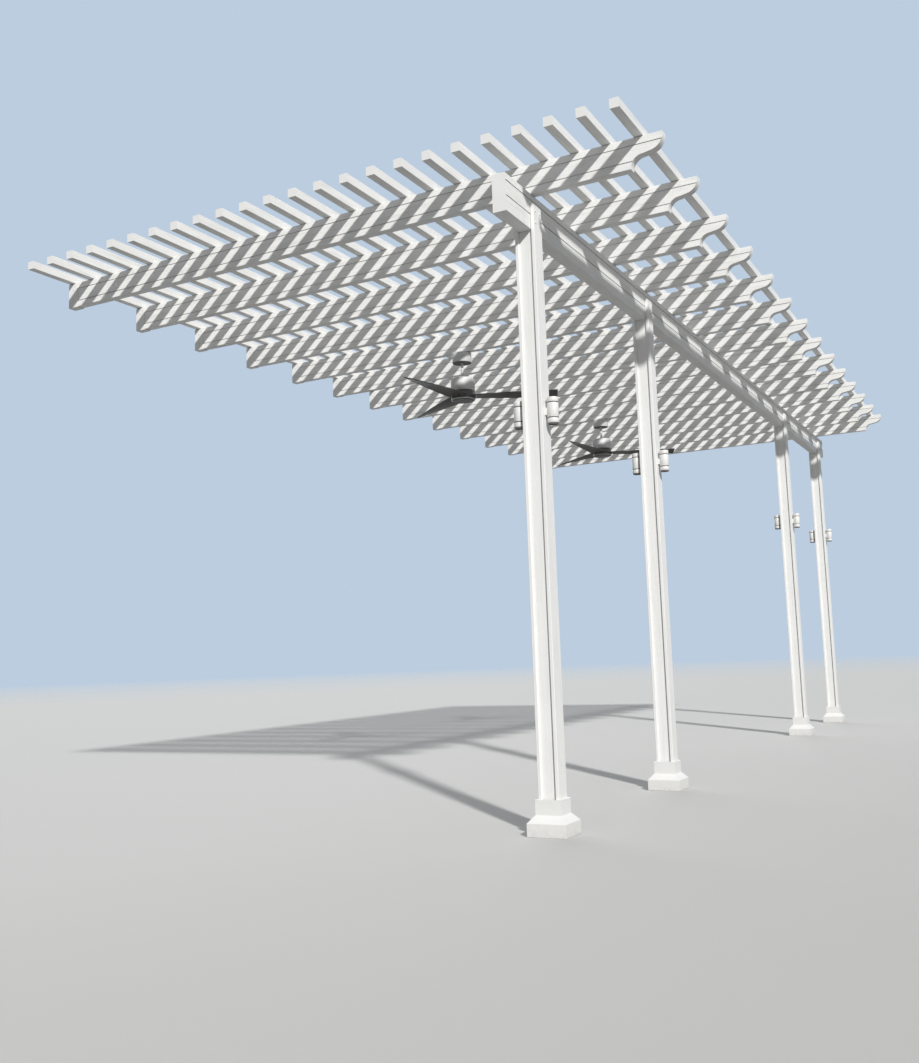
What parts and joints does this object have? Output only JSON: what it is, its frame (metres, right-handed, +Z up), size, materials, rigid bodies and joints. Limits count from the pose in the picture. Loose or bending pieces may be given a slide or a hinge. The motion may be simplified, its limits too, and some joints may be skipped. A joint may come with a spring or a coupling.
{
  "type": "patio cover",
  "caption": "White open-lattice patio cover: tubes over shaped-tail rafters, carried by wall hangers and a beam on square posts, with wall lights and ceiling fans.",
  "frame": {"origin": "centre of the underside of the first post's foot plate, at paving level", "axes": "+X along the beam to the far end, +Y from the beam towards the house wall, +Z up"},
  "size_m": [8.8312, 4.1823, 3.5541],
  "materials": {
    "white_aluminium": "satin white paint over an embossed wood grain",
    "white_cap": "smooth satin white",
    "galvanised_steel": "dull zinc",
    "light_white": "satin white",
    "light_lens": "frosted",
    "fan_metal": "satin light grey",
    "fan_blade": "matt dark grey",
    "fan_dark": "matt dark grey"
  },
  "bodies": {
    "frame": {"rafters_1_to_4": "white_aluminium", "rafters_5_to_7": "white_aluminium", "rafters_8_to_10": "white_aluminium", "rafters_11_to_14": "white_aluminium", "beam": "white_aluminium", "beam_end_caps": "white_cap", "post_1_core": "white_aluminium", "post_1_side_plates": "white_aluminium", "post_1_foot_plate": "galvanised_steel", "post_1_base_cover": "white_cap", "post_2_core": "white_aluminium", "post_2_side_plates": "white_aluminium", "post_2_foot_plate": "galvanised_steel", "post_2_base_cover": "white_cap", "post_3_core": "white_aluminium", "post_3_side_plates": "white_aluminium", "post_3_foot_plate": "galvanised_steel", "post_3_base_cover": "white_cap", "post_4_core": "white_aluminium", "post_4_side_plates": "white_aluminium", "post_4_foot_plate": "galvanised_steel", "post_4_base_cover": "white_cap", "lattice_tubes_1_to_6": "white_aluminium", "lattice_tubes_7_to_12": "white_aluminium", "lattice_tubes_13_to_18": "white_aluminium", "lattice_tubes_19_to_24": "white_aluminium", "tube_caps_near": "white_cap", "tube_caps_far": "white_cap", "wall_hangers_1_to_7": "white_aluminium", "wall_hangers_8_to_14": "white_aluminium", "post_light_bodies": "light_white", "post_light_brackets": "light_white", "post_light_lenses": "light_lens", "fan_mounting_plates": "white_aluminium", "fan_canopies": "fan_metal", "fan_downrods": "fan_metal", "fan_motor_housings": "fan_metal"},
    "fan_1_rotor": {"fan_1_hub": "fan_dark", "fan_1_blades": "fan_blade", "fan_1_cap": "fan_dark"},
    "fan_2_rotor": {"fan_2_hub": "fan_dark", "fan_2_blades": "fan_blade", "fan_2_cap": "fan_dark"}
  },
  "joints": [
    {"name": "fan_1_spin", "type": "hinge", "parent": "frame", "child": "fan_1_rotor", "pos_m": [2.488, 1.735, 3], "axis": [0, 0, 1], "continuous": true},
    {"name": "fan_2_spin", "type": "hinge", "parent": "frame", "child": "fan_2_rotor", "pos_m": [5.598, 1.735, 3], "axis": [0, 0, 1], "continuous": true}
  ]
}
